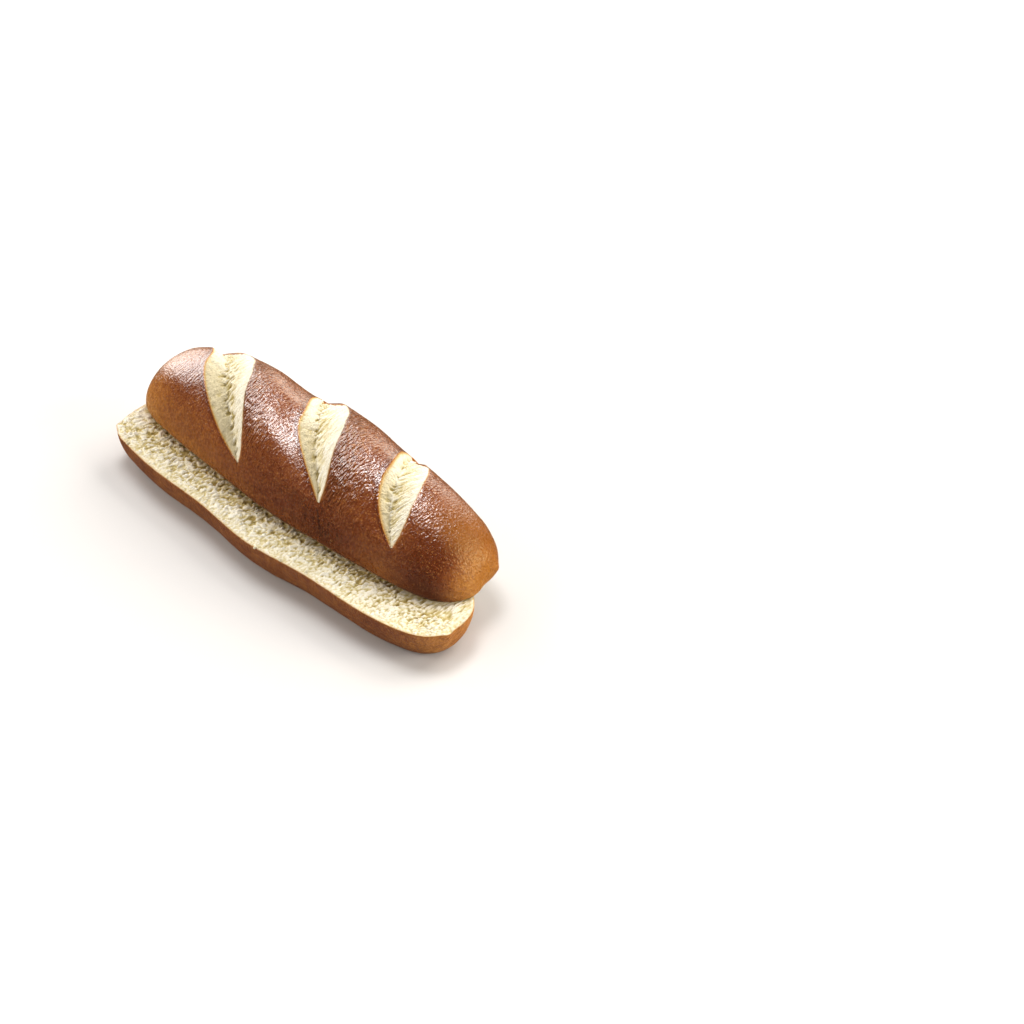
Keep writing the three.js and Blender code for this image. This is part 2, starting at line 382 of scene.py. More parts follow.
# The valley's rags and bends are shares of the score's width. Grain heights are those of the left wall and
# of the torn part, strand heights those of the torn part and of the calm right wall.
SCORE_SEED_STEP = 10
VALLEY_RAGS = dict(height=0.06, cell=(1, 5, 1), seed=5)
VALLEY_BENDS = dict(height=0.04, cell=6, seed=12)
VALLEY_FILL = 0.2
VALLEY_FILL_REACH = 2
TORN_SPAN = (-0.08, 0.1)
CALM_SPAN = (0.5, 0.95)
STRANDS = dict(cell=(0.75, 6, 1), seed=7)
THREADS = dict(height=0.4, cell=(0.5, 3, 1), seed=8)
STRAND_HEIGHTS = (0.45, 0.2)
SLOTS = dict(cell=(1.1, 4.5, 1), seed=13)
SLOT_SPAN = (-0.05, 0.45)
GRAINS = dict(cell=(1.3, 2.4, 1), seed=9)
GRAIN_SWELLS = dict(height=0.8, cell=2.4, seed=10)
GRAIN_LEVEL = 0.6
GRAIN_HEIGHTS = (0.55, 0.2)
LEFT_BULGE = 0.5
LEFT_FADE = 1.2
RIGHT_FADE = 0.8
WHITE_SPAN = (0.9, 0.1)


def score_relief(score, points, skin, across, gap, shift):
    """A grainy left wall, strands with slots between them, and a calmer right wall.
    Returns the relief, how torn the crumb is and how white."""
    leaned = skin + np.outer(skin[:, 1], (score["strand_lean"], 0, 0))
    past_valley = across - score["valley"]
    ragged = past_valley + noise_at(leaned, shift=shift, **VALLEY_RAGS)
    ragged += noise_at(skin, shift=shift, **VALLEY_BENDS)
    torn = smooth_step(*TORN_SPAN, ragged)
    calm = smooth_step(*CALM_SPAN, across)
    strands = noise_at(leaned, shift=shift, **STRANDS) + noise_at(leaned, shift=shift, **THREADS)
    slots = smooth_step(*SLOT_SPAN, noise_at(leaned, shift=shift, **SLOTS))
    grain = lumps_at(leaned, shift=shift, **GRAINS) - GRAIN_LEVEL
    grain += noise_at(points, shift=shift, **GRAIN_SWELLS)
    relief = blend(torn, *GRAIN_HEIGHTS) * grain
    relief += LEFT_BULGE * np.sin(np.pi * np.clip(across / score["valley"], 0, 1)) * (1 - torn)
    relief += VALLEY_FILL * bell(past_valley * gap, VALLEY_FILL_REACH)
    relief += torn * blend(calm, *STRAND_HEIGHTS) * strands
    relief -= score["slot_depth"] * slots * bell(ragged - score["slot_place"], score["slot_reach"])
    relief *= smooth_step(0, LEFT_FADE, across * gap) * smooth_step(0, RIGHT_FADE, (1 - across) * gap)
    # The calm right wall is whiter on its crests than in its hollows, which keep their painted shade
    return relief, torn, calm * smooth_step(*WHITE_SPAN, -relief)


# Top half

def top_rows():
    """Angles round the top half, closest together on the near side and the ridge"""
    near = np.linspace(FIRST_ANGLE, FINE_UP_TO, NEAR_ROWS, endpoint=False)
    far = np.linspace(FINE_UP_TO, LAST_ANGLE, FAR_ROWS + 1)
    return np.concatenate((near, far))


def top_columns(edges):
    """Places along the bun, for each row, of columns that follow the edges of the scores.
    Returns them with the columns that bound the ends, scores and bridges."""
    tip = np.full_like(edges[0], TOP_LENGTH / 2)
    borders = [-tip, *edges, tip]
    steps = (END_COLUMNS[0], SCORE_COLUMNS[0], BRIDGE_COLUMNS[0], SCORE_COLUMNS[1],
             BRIDGE_COLUMNS[1], SCORE_COLUMNS[2], END_COLUMNS[1])
    spans = []
    for place, count in enumerate(steps):
        share = np.arange(count) / count
        if place == 0:
            share = 1 - np.cos(np.pi / 2 * share)
        elif place == len(steps) - 1:
            share = np.sin(np.pi / 2 * share)
        start = borders[place][:, None]
        spans.append(start + (borders[place + 1][:, None] - start) * share)
    return np.concatenate((*spans, tip[:, None]), axis=1), np.cumsum((0, *steps))


def top_surface(along, angle):
    share = along / (TOP_LENGTH / 2)
    half_width = TOP_HALF_WIDTH * plan_share(share, TOP_BLUNTNESS)
    height = TOP_HEIGHT * ridge_share(share)
    fullness = np.minimum(1, height / (FULL_SECTION * TOP_HEIGHT))
    belly = BELLY_HEIGHT * fullness
    turn = np.radians(angle)
    rise = np.where(np.sin(turn) >= 0, height - belly, TUCK_RADIUS * fullness)
    inward = np.stack((np.cos(turn) * rise, -np.sin(turn) * half_width), axis=-1)
    inward /= np.maximum(np.linalg.norm(inward, axis=-1, keepdims=True), LEAST_LENGTH)
    sunk = (score_depth(along, angle) * fullness)[..., None] * inward
    y = -half_width * np.cos(turn) + sunk[..., 0]
    z = np.maximum(0, belly + rise * np.sin(turn) + sunk[..., 1])
    return np.stack((along, y, z), axis=-1)


def top_grid():
    """Points of the top half in rows round it, first the crust's and then the underside's.
    Returns them with the crust rows' angles, the edges of the scores and the columns that bound them."""
    angles = top_rows()
    edges = [torn_edges(score, angles, place * len(EDGE_JAGS)) for place, score in enumerate(SCORES)]
    along, borders = top_columns([edge for pair in edges for edge in pair])
    shell = top_surface(along, angles[:, None])
    back = np.linspace(1, 0, UNDERSIDE_ROWS + 1)[1:-1, None, None]
    underside = shell[0] + (shell[-1] - shell[0]) * back
    bounds = [(borders[2 * place + 1], borders[2 * place + 2]) for place in range(len(SCORES))]
    return np.concatenate((shell, underside)), angles, edges, bounds


def top_faces(rows, columns, angles, bounds):
    """1 for each face of torn crumb and 0 for each face of crust"""
    last_row = len(angles) - 1
    is_crumb = np.zeros((rows, columns - 1), np.int32)
    is_crumb[last_row:] = 1
    between_rows = (angles[:-1] + angles[1:]) / 2
    for score, (first, last) in zip(SCORES, bounds):
        across = (np.arange(last - first) + 0.5) / (last - first)
        open_rows = (score_opening(score, between_rows) > LEAST_OPENING)[:, None]
        is_crumb[:last_row, first:last] = open_rows & (between_rows[:, None] < crumb_end(across))
    return is_crumb


class TopPoints:
    """Where the points of the top half lie, and the numbers that shape and colour them"""

    def __init__(self, points, kept, angles):
        row, self.column = np.unravel_index(kept, points.shape[:2])
        self.on_shell = row < len(angles)
        self.row = np.minimum(row, len(angles) - 1)
        self.angle = angles[self.row]
        self.rim = np.minimum(self.angle - FIRST_ANGLE, LAST_ANGLE - self.angle)
        self.base = points.reshape(-1, 3)[kept]
        self.along = self.base[:, 0]
        self.skin = flat_places(self.along, np.radians(self.angle) * SKIN_RADIUS)
        self.crusty = self.on_shell.copy()
        self.relief = np.zeros(len(kept))
        self.golden = np.zeros(len(kept))
        self.butter = np.zeros(len(kept))
        self.white = np.zeros(len(kept))
        self.strands = np.zeros(len(kept))
        self.darker = np.zeros(len(kept))
        self.stretched = np.zeros(len(kept))


# Looks of the scores and of the crust beside them

BUTTER_FALL = 0.5
BUTTER_FALL_SPAN = (70, 105)
LEAST_STRANDS = 0.6
FULL_OPENING = 0.12
# Golden rims: widths of the left one on crust and crumb, of the right one on the ridge and near tip
LEFT_RIM = (0.3, 0.6)
RIGHT_RIM = (0.25, 0.6)
RIGHT_RIM_SPAN = (80, 45)
RIGHT_RIM_GOLD = 0.7
FAR_RIM = 2.5
DARK_LINE = 0.3
DARK_LINE_OFF = 1.2
DARK_LINE_WIDTH = 1.0
STRETCH_OFF = 2
STRETCH_SPAN = (20, 50)


def tear_score(top, score, inside, across, gap, shift):
    """Torn crumb at the points inside a score"""
    relief, torn, white = score_relief(score, top.base[inside], top.skin[inside], across, gap, shift)
    top.relief[inside] = relief
    fall = BUTTER_FALL * smooth_step(*BUTTER_FALL_SPAN, top.angle[inside])
    top.butter[inside] = (1 - torn) * (1 - fall)
    top.strands[inside] = blend(torn, LEAST_STRANDS, 1)
    top.white[inside] = white
    top.skin[inside, 0] += score["strand_lean"] * top.skin[inside, 1]
    top.crusty &= ~inside


def brown_rims(top, score, open_now, off_left, off_right):
    """Golden rims along a score, a darker line at its left and stretched crust at its right"""
    left_rim = np.where(off_left > 0, *LEFT_RIM)
    top.golden = np.maximum(top.golden, open_now * bell(off_left, left_rim))
    right_rim = blend(smooth_step(*RIGHT_RIM_SPAN, top.angle), *RIGHT_RIM)
    top.golden = np.maximum(top.golden, RIGHT_RIM_GOLD * open_now * bell(off_right, right_rim))
    top.darker += DARK_LINE * open_now * bell(off_left - DARK_LINE_OFF, DARK_LINE_WIDTH) * (off_left > 0)
    beside = bell(off_right - STRETCH_OFF, score["stretch_reach"]) * (off_right > 0)
    top.stretched += score["stretch"] * open_now * beside * smooth_step(*STRETCH_SPAN, top.angle)


def open_score(top, score, edges, bounds, shift):
    """Torn crumb inside one score, and what its opening did to the crust round it"""
    first, last = bounds
    left, right = (edge[top.row] for edge in edges)
    across = (top.column - first) / (last - first)
    between = (top.column > first) & (top.column < last)
    opening = score_opening(score, top.angle)
    end = crumb_end(across)
    inside = top.on_shell & between & (opening > LEAST_OPENING) & (top.angle < end)
    tear_score(top, score, inside, across[inside], (right - left)[inside], shift)
    brown_rims(top, score, smooth_step(0, FULL_OPENING, opening), left - top.along, top.along - right)
    past_end = np.radians(top.angle - end) * SKIN_RADIUS
    far_rim = between & (past_end >= 0)
    top.golden = np.maximum(top.golden, far_rim * bell(past_end, FAR_RIM))


# Looks of the rest of the top half

TOP_BROWNING = 0.78
TOP_BLOTCHES = dict(height=0.1, cell=16, seed=6)
CRACKS_ALONG = dict(middle=27, reach=11)
CRACKS_ROUND = dict(middle=14, reach=16)
CRACKS_DARKER = 0.2
SHOULDER_GOLD_AND_SHEEN = 0.45
SHOULDER_GOLD_AND_SHEEN_ALONG = (55, 75)
SHOULDER_GOLD_AND_SHEEN_ROUND = (60, 95)
LEAST_WRINKLED = 0.1
STRETCHED_WRINKLED = 0.8
UNDERSIDE = dict(height=0.5, cell=(1.6, 3, 2), seed=8)
SCORE_HOLLOW_SHADE = 1.7
SCORE_HOLLOW_SHADE_BUTTER = 1.3

# A patch adds its amount, and may keep to a span along the bun, to a band with a middle and a reach along it
# and to a span of angles in from the rim. An amount of browning below 0 makes the crust paler.
BROWNING_PATCHES = (
    dict(amount=-0.55, along=(75, 87)),
    dict(amount=-0.3, along=(-54, -84)),
    dict(amount=0.3, band=(73, 7)),
    dict(amount=-0.45, along=(10, -50), rim=(85, 4)),
    dict(amount=-0.17, band=(56, 14), rim=(75, 15)),
)
MATTE_PATCHES = (dict(amount=0.3, rim=(75, 25)), dict(amount=0.15, along=(48, 62)))
WRINKLED_PATCHES = (dict(amount=0.15, along=(60, 40)),)


def patched(top, patches):
    """Sum of patches at each point of the top half"""
    total = np.zeros(len(top.along))
    for patch in patches:
        amount = patch["amount"]
        if "along" in patch:
            amount = amount * smooth_step(*patch["along"], top.along)
        if "band" in patch:
            middle, reach = patch["band"]
            amount = amount * bell(top.along - middle, reach)
        if "rim" in patch:
            amount = amount * smooth_step(*patch["rim"], top.rim)
        total += amount
    return total


def top_looks(top):
    """Numbers for the materials of the top half, by their names"""
    cracked = bell(top.along - CRACKS_ALONG["middle"], CRACKS_ALONG["reach"])
    cracked *= bell(top.angle - CRACKS_ROUND["middle"], CRACKS_ROUND["reach"])
    browning = TOP_BROWNING + top.darker + noise_at(top.base, **TOP_BLOTCHES)
    browning += CRACKS_DARKER * cracked + patched(top, BROWNING_PATCHES)
    # Painted sheen: the upper right end turns gold, partly its own tone and partly the soft sheen it shows
    shoulder_gold_and_sheen = smooth_step(*SHOULDER_GOLD_AND_SHEEN_ALONG, top.along) * smooth_step(*SHOULDER_GOLD_AND_SHEEN_ROUND, top.angle)
    golden = np.maximum(top.golden, SHOULDER_GOLD_AND_SHEEN * shoulder_gold_and_sheen)
    wrinkled = LEAST_WRINKLED + patched(top, WRINKLED_PATCHES) + STRETCHED_WRINKLED * top.stretched
    # Painted shade: hollows of the torn crumb take darker, yellower tones, more so on the buttery left walls
    pit = np.where(top.crusty, 0, -top.relief * (SCORE_HOLLOW_SHADE + SCORE_HOLLOW_SHADE_BUTTER * top.butter))
    return dict(skin=top.skin, browning=browning, golden=golden, butter=top.butter, white=top.white,
                cracked=cracked, strands=top.strands, matte=patched(top, MATTE_PATCHES),
                wrinkled=wrinkled, pit=pit)


def make_top(crust, crumb):
    points, angles, edges, bounds = top_grid()
    mesh, kept = grid_mesh("top_half_bread", points, top_faces(*points.shape[:2], angles, bounds))
    top = TopPoints(points, kept, angles)
    for place, score in enumerate(SCORES):
        open_score(top, score, edges[place], bounds[place], place * SCORE_SEED_STEP)
    crusty = top.crusty
    top.relief[crusty] = crust_relief(top.base[crusty], top.skin[crusty], top.stretched[crusty])
    below = ~top.on_shell
    top.relief[below] = -np.abs(noise_at(top.base[below], **UNDERSIDE))
    set_points(mesh, push_corners(raised(mesh, top.base, top.relief), TOP_CORNERS) + TOP_PLACE)
    add_values(mesh, **top_looks(top))
    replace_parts(add_piece(mesh, "top_crust", crust, crumb), "top_half")


# Bottom half

def bottom_outline(share, side, wall_angle):
    """Points of one side's wall, at angles from BASE_EDGE up to CUT_EDGE"""
    turn = np.radians(wall_angle)
    inset = (BASE_INSET + (BASE_INSET_ENDS - BASE_INSET) * share ** 2) * (1 - np.sin(turn))
    along = share * (BOTTOM_LENGTH / 2 - inset)
    wave = EDGE_WAVE * np.cos(2 * np.pi * along / EDGE_WAVE_LENGTH) * (side == NEAR_SIDE)
    skew = RIGHT_TIP_SKEW * np.maximum(0, share) ** TIP_SKEW_POWER
    half_width = (BOTTOM_HALF_WIDTH + wave - inset) * plan_share(share, BOTTOM_BLUNTNESS)
    height = np.broadcast_to(CUT_HEIGHT * (1 - np.cos(turn)), along.shape)
    return np.stack((along, skew + side * half_width, height), axis=-1)


def even_shares(columns):
    """Places from -1 to 1 along the bun that are evenly far apart on its near edge"""
    fine = -np.cos(np.linspace(0, np.pi, EVEN_SAMPLES * columns))
    edge = bottom_outline(fine, NEAR_SIDE, CUT_EDGE)
    length = np.concatenate(((0,), np.cumsum(np.linalg.norm(np.diff(edge, axis=0), axis=1))))
    return np.interp(np.linspace(0, length[-1], columns + 1), length, fine)


def wall_rows(share, side, rows):
    """Rows of the wall from just below the cut edge down to the base"""
    return bottom_outline(share[None], side, np.linspace(CUT_EDGE, BASE_EDGE, rows + 1)[1:, None])


def bottom_grid():
    """Rows of points round the bottom half, first those of the cut face, and how many are on it"""
    share = even_shares(BOTTOM_COLUMNS)
    near_edge = bottom_outline(share, NEAR_SIDE, CUT_EDGE)
    far_edge = bottom_outline(share, FAR_SIDE, CUT_EDGE)
    across = np.concatenate((np.linspace(0, NEAR_CRUMB_SHARE, NEAR_CRUMB_ROWS, endpoint=False),
                             np.linspace(NEAR_CRUMB_SHARE, 1, FAR_CRUMB_ROWS + 1)))
    face = near_edge + (far_edge - near_edge) * across[:, None, None]
    far_wall = wall_rows(share, FAR_SIDE, FAR_WALL_ROWS)
    near_wall = wall_rows(share, NEAR_SIDE, NEAR_WALL_ROWS)[::-1]
    base_share = np.linspace(0, 1, BASE_ROWS + 1)[1:-1, None, None]
    base_rows = far_wall[-1] + (near_wall[0] - far_wall[-1]) * base_share
    return np.concatenate((face, far_wall, base_rows, near_wall)), len(across)


def rim_distance(places):
    """How far inside the cut edge places lie"""
    half_length = BOTTOM_LENGTH / 2
    share = places[:, 0] / half_length
    near, far = (bottom_outline(share, side, CUT_EDGE)[:, 1] for side in (NEAR_SIDE, FAR_SIDE))
    to_sides = np.minimum(places[:, 1] - near, far - places[:, 1])
    return np.minimum(to_sides, half_length - np.abs(places[:, 0]))


def past_top_edge(places, tuck):
    """How far past the top half's near side places lie, with tuck as the share of its width that counts"""
    share = (places[:, 0] + BOTTOM_MIDDLE[0] - TOP_MIDDLE[0]) / (TOP_LENGTH / 2)
    reach = TOP_HALF_WIDTH * plan_share(np.clip(share, -1, 1), TOP_BLUNTNESS)
    return places[:, 1] - SLIDE_BACK + reach * tuck


# Torn crumb of the cut face

# Sponge lies everywhere, and nodules, pits and folds further in from the rim. Nodules lie askew.
# They are finer in the right half, and bulbs at the left end.
NODULE_TURN = 70
NODULE_LEVEL = 0.45
NODULE_HEIGHT = 0.75
SPONGE = dict(cell=(1.15, 0.8, 1), seed=34)
SPONGE_HEIGHT = 0.45
NODULES = dict(cell=(2.2, 1.2, 2), seed=33)
FINE_NODULES = dict(cell=(1.9, 1, 1), seed=40)
FINE_NODULES_ALONG = (-10, 40)
BULBS = dict(cell=(2.8, 1.8, 3), seed=36)
BULBS_ALONG = (-58, -76)
PITS = dict(cell=(2.4, 1.6, 2), seed=35)
PIT_SPAN = (0.05, 0.45)
PIT_DEPTH = 0.65
FOLDS = dict(height=0.35, cell=(7, 3.2, 4), seed=42)
FINE_GRAIN = dict(height=0.12, cell=0.8, seed=37)
WANDERS = (dict(height=1.0, cell=4, seed=31), dict(height=0.3, cell=1.4, seed=31))
TORN_BORDER = dict(height=2, cell=5, seed=38)
TORN_INSIDE = (1, 6)
TORN_INSIDE_LEFT = (0.5, 2)
PITTED_BORDER = dict(height=4, cell=7, seed=39)
PITTED_INSIDE = (4, 12)


def turned(points, degrees):
    """Places on the cut face, turned about the upright"""
    turn = math.radians(degrees)
    return flat_places(points[:, 0] * math.cos(turn) + points[:, 1] * math.sin(turn),
                       points[:, 1] * math.cos(turn) - points[:, 0] * math.sin(turn))


def crumb_relief(points, inside):
    """Relief of the cut face, at points that lie so far inside its rim"""
    bent = points.copy()
    for axis in (0, 1):
        for wander in WANDERS:
            bent[:, axis] += noise_at(points, shift=axis, **wander)
    askew = turned(bent, NODULE_TURN)
    left_end = smooth_step(*BULBS_ALONG, points[:, 0])
    torn = smooth_step(*TORN_INSIDE, inside + noise_at(points, **TORN_BORDER))
    torn = np.maximum(torn, left_end * smooth_step(*TORN_INSIDE_LEFT, inside))
    right_half = smooth_step(*FINE_NODULES_ALONG, points[:, 0])
    nodules = blend(right_half, nodules_at(askew, **NODULES), nodules_at(askew, **FINE_NODULES))
    nodules = blend(left_end, nodules, nodules_at(askew, **BULBS))
    pitted = smooth_step(*PITTED_INSIDE, inside + noise_at(points, **PITTED_BORDER))
    relief = SPONGE_HEIGHT * (nodules_at(askew, **SPONGE) - NODULE_LEVEL)
    relief += NODULE_HEIGHT * torn * (nodules - NODULE_LEVEL)
    relief -= PIT_DEPTH * pitted * smooth_step(*PIT_SPAN, noise_at(askew, **PITS))
    return relief + torn * noise_at(askew, **FOLDS) + noise_at(points, **FINE_GRAIN)


# Looks of the bottom half

WALL_STRETCH = 2
WALL_FADE = 2
FACE_FADE = 0.8
FREE_HEIGHT = 0.9
COVER_FADE = 1.8
RIM_JAGS = dict(height=0.35, cell=1.7, seed=41)
RIM_JAG_REACH = 0.9
BOTTOM_BROWNING = 0.62
BOTTOM_BLOTCHES = dict(height=0.1, cell=14, seed=7)
BOTTOM_SPOTS = dict(height=0.1, cell=4, seed=8)
BOTTOM_END_PALER = 0.3
BOTTOM_END_ALONG = (70, 86)
SHADE_REACH = 8
SHADE_GOLD = 0.15
FACE_RIM_GOLD = 0.7
FACE_RIM = 0.5
WALL_RIM = 0.45
FACE_SHADE = 0.25
FACE_SHADE_ALONG = (70, 84)
FACE_HOLLOW_SHADE = 1.9
FACE_HOLLOW_SHADE_UNDER_TOP = 2
BOTTOM_MATTE = 1
BOTTOM_WRINKLED = 0.5


def bottom_relief(base, skin, on_face, inside, below_rim):
    """Crust on the wall, torn crumb on the cut face, flat under the top half, and jags along the rim"""
    relief = np.zeros(len(base))
    wall = ~on_face
    fade = smooth_step(0, WALL_FADE, base[wall, 2]) * smooth_step(0, WALL_FADE, below_rim[wall])
    relief[wall] = crust_relief(base[wall], skin[wall], 0) * fade
    torn = crumb_relief(base[on_face], inside[on_face]) * smooth_step(0, FACE_FADE, inside[on_face])
    covered = smooth_step(-COVER_FADE, 0, past_top_edge(base[on_face], math.cos(math.radians(TUCK_ANGLE))))
    relief[on_face] = np.minimum(torn, FREE_HEIGHT * (1 - covered))
    off_rim = np.where(on_face, inside, below_rim)
    return relief + noise_at(base, **RIM_JAGS) * bell(off_rim, RIM_JAG_REACH)


def bottom_looks(base, on_face, inside, below_rim, relief):
    """Numbers for the materials of the bottom half, by their names"""
    browning = BOTTOM_BROWNING + noise_at(base, **BOTTOM_BLOTCHES) + noise_at(base, **BOTTOM_SPOTS)
    browning -= BOTTOM_END_PALER * smooth_step(*BOTTOM_END_ALONG, base[:, 0])
    # Painted shade: the cut face under the top half and just in front of it turns khaki and a little gold,
    # and its right end khaki too
    shaded = smooth_step(-SHADE_REACH, 0, past_top_edge(base, 1))
    face_gold_and_shade = np.maximum(FACE_RIM_GOLD * bell(inside, FACE_RIM), SHADE_GOLD * shaded)
    golden = np.where(on_face, face_gold_and_shade, bell(below_rim, WALL_RIM))
    butter = FACE_SHADE * np.maximum(smooth_step(*FACE_SHADE_ALONG, base[:, 0]), shaded)
    # Painted shade: hollows of the cut face take darker, yellower tones, more so where it is painted shaded
    pit = np.where(on_face, -relief * (FACE_HOLLOW_SHADE + FACE_HOLLOW_SHADE_UNDER_TOP * butter), 0)
    nothing = np.zeros(len(base))
    return dict(browning=browning, golden=golden, butter=butter, white=nothing, cracked=nothing,
                matte=nothing + BOTTOM_MATTE, wrinkled=nothing + BOTTOM_WRINKLED, pit=pit)


def make_bottom(crust, crumb):
    points, face_rows = bottom_grid()
    rows, columns = points.shape[:2]
    is_crumb = np.zeros((rows, columns - 1), np.int32)
    is_crumb[:face_rows - 1] = 1
    mesh, kept = grid_mesh("bottom_half_bread", points, is_crumb)
    base = points.reshape(-1, 3)[kept]
    on_face = np.unravel_index(kept, (rows, columns))[0] < face_rows
    inside = rim_distance(base)
    below_rim = CUT_HEIGHT - base[:, 2]
    skin = flat_places(base[:, 0], WALL_STRETCH * base[:, 2] + np.abs(base[:, 1]))
    relief = bottom_relief(base, skin, on_face, inside, below_rim)
    set_points(mesh, push_corners(raised(mesh, base, relief), BOTTOM_CORNERS) + BOTTOM_PLACE)
    add_values(mesh, skin=skin, **bottom_looks(base, on_face, inside, below_rim, relief))
    piece = add_piece(mesh, "bottom_crust", crust, crumb)
    piece.visible_glossy = False
    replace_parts(piece, "bottom_half")


# Loose crumbs, most on the near rim and the rest further in on the cut face

CRUMB_COUNT = 14
CRUMB_SEED = 71
CRUMB_SPREAD = (-0.93, 0.96)
RIM_CRUMB_SHARE = 0.7
RIM_CRUMB_INSIDE = (0, 1)
FACE_CRUMB_INSIDE = (1, 11)
CRUMB_LIFT = 0.15
CRUMB_RADIUS = (0.35, 0.8)
CRUMB_SQUEEZE = (0.7, 1.3)
CRUMB_UNEVENNESS = 0.5
CRUMB_CELL = 0.8
CRUMB_NOISES = 100


def crumb_places(draw):
    share = draw.uniform(*CRUMB_SPREAD, CRUMB_COUNT)
    on_rim = draw.random(CRUMB_COUNT) < RIM_CRUMB_SHARE
    rim_inside = draw.uniform(*RIM_CRUMB_INSIDE, CRUMB_COUNT)
    face_inside = draw.uniform(*FACE_CRUMB_INSIDE, CRUMB_COUNT)
    places = bottom_outline(share, NEAR_SIDE, CUT_EDGE)
    places[:, 1] += np.where(on_rim, rim_inside, face_inside)
    places[:, 2] += CRUMB_LIFT
    return places + BOTTOM_PLACE


def make_crumbs(crumb):
    draw = np.random.default_rng(CRUMB_SEED)
    pattern = bmesh.new()
    bmesh.ops.create_icosphere(pattern, subdivisions=2, radius=1)
    ball = np.array([point.co for point in pattern.verts])
    ball_faces = np.array([[corner.index for corner in face.verts] for face in pattern.faces])
    pattern.free()
    points = []
    faces = []
    for place in crumb_places(draw):
        radii = draw.uniform(*CRUMB_RADIUS) * draw.uniform(*CRUMB_SQUEEZE, 3)
        uneven = 1 + CRUMB_UNEVENNESS * noise_at(ball, CRUMB_CELL, draw.integers(CRUMB_NOISES))[:, None]
        faces.extend((ball_faces + len(points) * len(ball)).tolist())
        points.append(place + ball * uneven * radii)
    mesh = bpy.data.meshes.new("loose_crumbs")
    mesh.from_pydata((np.concatenate(points) * MM).tolist(), [], faces)
    mesh.shade_smooth()
    nothing = np.zeros(len(mesh.vertices))
    add_values(mesh, golden=nothing, butter=nothing, white=nothing, pit=nothing)
    add_piece(mesh, "crumb", crumb)


# Shader nodes

MIX_SHARE_SOCKET = 0
MIX_FIRST_SOCKET = 6
MIX_SECOND_SOCKET = 7
MIX_RESULT_SOCKET = 2


def colour(red, green, blue):
    """Linear colour of screen values from 0 to 255, by the sRGB formula"""
    shares = np.array((red, green, blue)) / 255
    linear = np.where(shares <= 0.04045, shares / 12.92, ((shares + 0.055) / 1.055) ** 2.4)
    return (*linear.tolist(), 1)


class Nodes:
    """Short ways to add shader nodes to one new material. Colours are given as screen values."""

    def __init__(self, name):
        self.material = bpy.data.materials.new(name)
        self.material.use_nodes = True
        self.tree = self.material.node_tree
        self.shader = self.tree.nodes["Principled BSDF"]

    def add(self, kind, **settings):
        node = self.tree.nodes.new("ShaderNode" + kind)
        for name, value in settings.items():
            setattr(node, name, value)
        return node

    def link(self, output, target):
        self.tree.links.new(output, target)

    def place(self):
        return self.add("TexCoord").outputs["Object"]

    def value(self, name):
        return self.add("Attribute", attribute_name=name).outputs["Fac"]

    def vector(self, name):
        return self.add("Attribute", attribute_name=name).outputs["Vector"]

    def noise(self, place, scale, detail, roughness):
        node = self.add("TexNoise")
        node.inputs["Scale"].default_value = scale
        node.inputs["Detail"].default_value = detail
        node.inputs["Roughness"].default_value = roughness
        self.link(place, node.inputs["Vector"])
        return node.outputs["Fac"]

    def cracks(self, place):
        node = self.add("TexVoronoi", feature="DISTANCE_TO_EDGE")
        node.inputs["Scale"].default_value = 1
        self.link(place, node.inputs["Vector"])
        return node.outputs["Distance"]

    def range(self, value, low, high, to_low, to_high):
        node = self.add("MapRange")
        for name, number in zip(("From Min", "From Max", "To Min", "To Max"), (low, high, to_low, to_high)):
            node.inputs[name].default_value = number
        self.link(value, node.inputs["Value"])
        return node.outputs["Result"]

    def math(self, operation, first, second):
        node = self.add("Math", operation=operation)
        self.link(first, node.inputs[0])
        self.link(second, node.inputs[1])
        return node.outputs["Value"]

    def ramp(self, value, stops):
        node = self.add("ValToRGB")
        points = node.color_ramp.elements
        while len(points) < len(stops):
            points.new(0.5)
        for point, (place, shade) in zip(points, stops):
            point.position = place
            point.color = colour(*shade)
        self.link(value, node.inputs["Fac"])
        return node.outputs["Color"]

    def mix(self, share, first, second):
        node = self.add("Mix", data_type="RGBA")
        self.link(share, node.inputs[MIX_SHARE_SOCKET])
        self.link(first, node.inputs[MIX_FIRST_SOCKET])
        node.inputs[MIX_SECOND_SOCKET].default_value = colour(*second)
        return node.outputs[MIX_RESULT_SOCKET]

    def scaled(self, place, scale):
        node = self.add("Mapping")
        node.inputs["Scale"].default_value = scale
        self.link(place, node.inputs["Vector"])
        return node.outputs["Vector"]

    def bump(self, height, distance, under=None):
        node = self.add("Bump")
        node.inputs["Distance"].default_value = distance
        self.link(height, node.inputs["Height"])
        if under is not None:
            self.link(under, node.inputs["Normal"])
        return node.outputs["Normal"]


# Crust material

# Noise scales are features in a metre, or in a millimetre on the skin. Noise keeps mostly to its span, which
# is mapped to a range. Bumps are in metres, and tones go from the palest to the darkest.
NOISE_SPAN = (0.3, 0.7)
CRUST_TONES = (
    (0.0, (206, 150, 78)),
    (0.25, (182, 117, 48)),
    (0.5, (150, 88, 36)),
    (0.75, (120, 61, 28)),
    (1.0, (97, 43, 16)),
)
GOLDEN_AND_SHEEN_CRUST = (166, 101, 20)
CRUST_MOTTLE = dict(scale=420, detail=4, roughness=0.6)
CRUST_MOTTLE_RANGE = (-0.12, 0.12)
FLECKS = dict(scale=1300, detail=2, roughness=0.6)
FLECK_RANGE = (-0.15, 0.15)
SPECKS_AND_GLINTS = dict(scale=1900, detail=1, roughness=0.5)
SPECK_AND_GLINT_SPAN = (0.62, 0.72)
SPECK_AND_GLINT_RANGE = (0, 0.45)
SPECK_AND_GLINT_COLOUR = (214, 152, 84)
CRACK_SCALE = (0.45, 0.06, 1)
